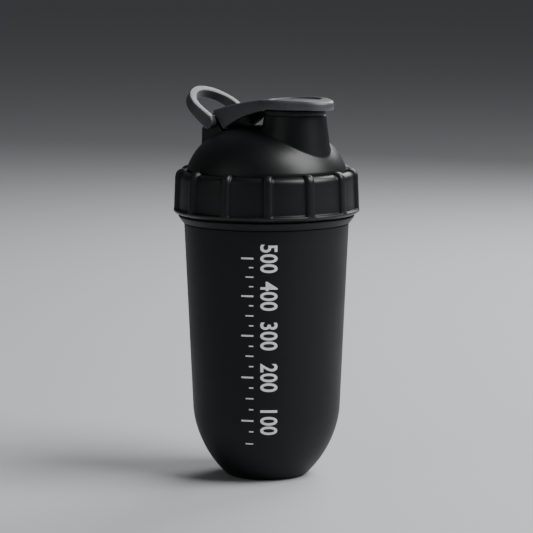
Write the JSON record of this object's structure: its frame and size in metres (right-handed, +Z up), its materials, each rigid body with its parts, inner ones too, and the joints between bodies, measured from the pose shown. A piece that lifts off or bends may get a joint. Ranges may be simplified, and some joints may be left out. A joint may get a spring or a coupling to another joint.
{
  "type": "shaker bottle",
  "caption": "Round-bottomed shaker bottle with a ribbed screw collar, a domed lid, a flip-up spout cap and a swinging carry loop.",
  "frame": {"origin": "centre of the tumbler's flat foot, on the surface it stands on", "axes": "+Z up along the bottle's axis, +X from the hinge towards the spout, Y along the hinge pin"},
  "size_m": [0.098, 0.098, 0.2039],
  "materials": {
    "black_shell": "fine matte texture, soft-touch charcoal black",
    "black_lid": "satin moulded plastic, charcoal black",
    "grey_lever": "satin moulded plastic, mid grey",
    "seal": "soft silicone, grey",
    "pin": "drawn steel wire"
  },
  "bodies": {
    "tumbler": {"tumbler": "black_shell"},
    "lid": {"dome_lid": "black_lid", "rim_gasket": "seal", "hinge_pin": "pin"},
    "collar": {"screw_collar": "black_lid"},
    "cap": {"flip_cap": "grey_lever", "spout_seal": "seal"},
    "loop": {"carry_loop": "grey_lever"}
  },
  "joints": [
    {"name": "lid_lift", "type": "slide", "parent": "tumbler", "child": "lid", "axis": [0, 0, 1], "range_m": [0, 0.0135]},
    {"name": "collar_turn", "type": "hinge", "parent": "lid", "child": "collar", "pos_m": [0, 0, 0.15], "axis": [0, 0, 1], "range_deg": [0, 540]},
    {"name": "cap_flip", "type": "hinge", "parent": "lid", "child": "cap", "pos_m": [-0.027, 0, 0.1872], "axis": [0, -1, 0], "range_deg": [0, 90]},
    {"name": "loop_swing", "type": "hinge", "parent": "lid", "child": "loop", "pos_m": [-0.027, 0, 0.1872], "axis": [0, -1, 0], "range_deg": [0, 75]}
  ],
  "couplings": [
    {"joint": "lid_lift", "follows": "collar_turn", "m_per_rad": 0.0014323}
  ]
}
